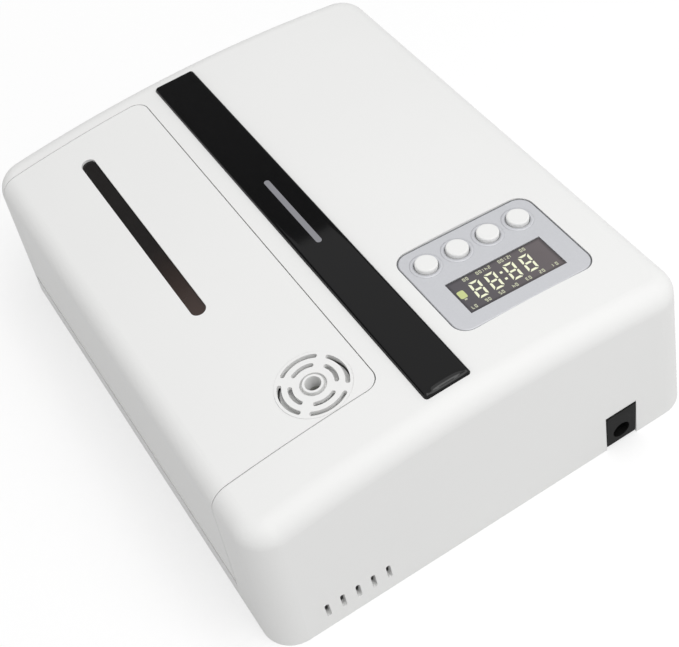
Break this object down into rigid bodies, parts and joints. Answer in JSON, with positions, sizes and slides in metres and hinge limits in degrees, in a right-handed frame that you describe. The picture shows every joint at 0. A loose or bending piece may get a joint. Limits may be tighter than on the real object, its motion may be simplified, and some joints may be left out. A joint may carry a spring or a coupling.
{
  "type": "scent diffuser machine",
  "caption": "Wall-mount aroma oil diffuser box with a crowned front, hinged oil door with level window and mist grille, black accent strip, timer display and push buttons.",
  "frame": {"origin": "middle of the back face, which lies on the ground in the picture", "axes": "+X across the width to the control panel side, +Y along the length away from the socket end, +Z out of the front face"},
  "size_m": [0.159, 0.2, 0.0637],
  "materials": {
    "white_abs": "satin white moulded ABS",
    "tinted_acrylic": "dark tinted acrylic",
    "black_acrylic": "piano black acrylic",
    "frosted_acrylic": "frosted light guide acrylic",
    "silver_panel": "satin silver plate",
    "display_lens": "smoked display lens",
    "display_glass": "liquid crystal glass",
    "backlight": "white light box",
    "button_abs": "satin white ABS",
    "circuit_board": "glass epoxy board",
    "chip_white": "light emitting chips",
    "switch_black": "black switch housing",
    "plug_nylon": "nylon plug",
    "socket_black": "black nylon socket",
    "contact_metal": "nickel plated brass",
    "zinc_steel": "zinc plated steel",
    "motor_can": "plated steel can",
    "pump_black": "black glass filled nylon",
    "pad_rubber": "black rubber",
    "silicone": "milky silicone",
    "bottle_plastic": "clear bottle plastic",
    "atomizer_grey": "grey acetal",
    "collar_black": "black polypropylene",
    "dip_tube": "natural polythene",
    "magnet": "nickel plated magnet",
    "lead_jacket": "black lead jacket"
  },
  "bodies": {
    "case": {"front_shell": "white_abs", "rear_cover": "white_abs", "accent_strip": "black_acrylic", "light_bar": "frosted_acrylic", "light_board": "circuit_board", "light_chips": "chip_white", "light_screws": "zinc_steel", "control_panel": "silver_panel", "display_lens": "display_lens", "display_glass": "display_glass", "display_backlight": "backlight", "control_board": "circuit_board", "board_plugs": "plug_nylon", "board_screws": "zinc_steel", "tact_switches": "switch_black", "power_socket": "socket_black", "socket_contact": "contact_metal", "pump_motor": "motor_can", "pump_head": "pump_black", "pump_pads": "pad_rubber", "pump_strap": "zinc_steel", "strap_screws": "zinc_steel", "air_hose": "silicone", "bottle_gasket": "silicone", "bottle_collar": "collar_black", "atomizer_body": "atomizer_grey", "outlet_gasket": "silicone", "dip_tube": "dip_tube", "case_screws": "zinc_steel", "keeper_discs": "zinc_steel", "power_lead": "lead_jacket", "pump_lead": "lead_jacket", "light_lead": "lead_jacket"},
    "door": {"oil_door": "white_abs", "door_window": "tinted_acrylic", "outlet_grille": "white_abs", "outlet_tube": "white_abs", "hinge_pins": "zinc_steel", "door_magnets": "magnet"},
    "bottle": {"oil_bottle": "bottle_plastic"},
    "button_1_body": {"button_1": "button_abs", "switch_plunger_1": "switch_black"},
    "button_2_body": {"button_2": "button_abs", "switch_plunger_2": "switch_black"},
    "button_3_body": {"button_3": "button_abs", "switch_plunger_3": "switch_black"},
    "button_4_body": {"button_4": "button_abs", "switch_plunger_4": "switch_black"}
  },
  "joints": [
    {"name": "door_hinge", "type": "hinge", "parent": "case", "child": "door", "pos_m": [-0.07607, 0.006, 0.011], "axis": [0, -1, 0], "range_deg": [0, 95]},
    {"name": "bottle_unscrew", "type": "hinge", "parent": "case", "child": "bottle", "pos_m": [-0.04659, 0.02, 0.02999], "axis": [0, 1, 0], "range_deg": [0, 450]},
    {"name": "button_1_press", "type": "slide", "parent": "case", "child": "button_1_body", "axis": [-0.0711, 0, -0.9975], "range_m": [0, 0.0005], "stiffness_N_per_m": 3000},
    {"name": "button_2_press", "type": "slide", "parent": "case", "child": "button_2_body", "axis": [-0.0711, 0, -0.9975], "range_m": [0, 0.0005], "stiffness_N_per_m": 3000},
    {"name": "button_3_press", "type": "slide", "parent": "case", "child": "button_3_body", "axis": [-0.0711, 0, -0.9975], "range_m": [0, 0.0005], "stiffness_N_per_m": 3000},
    {"name": "button_4_press", "type": "slide", "parent": "case", "child": "button_4_body", "axis": [-0.0711, 0, -0.9975], "range_m": [0, 0.0005], "stiffness_N_per_m": 3000}
  ]
}
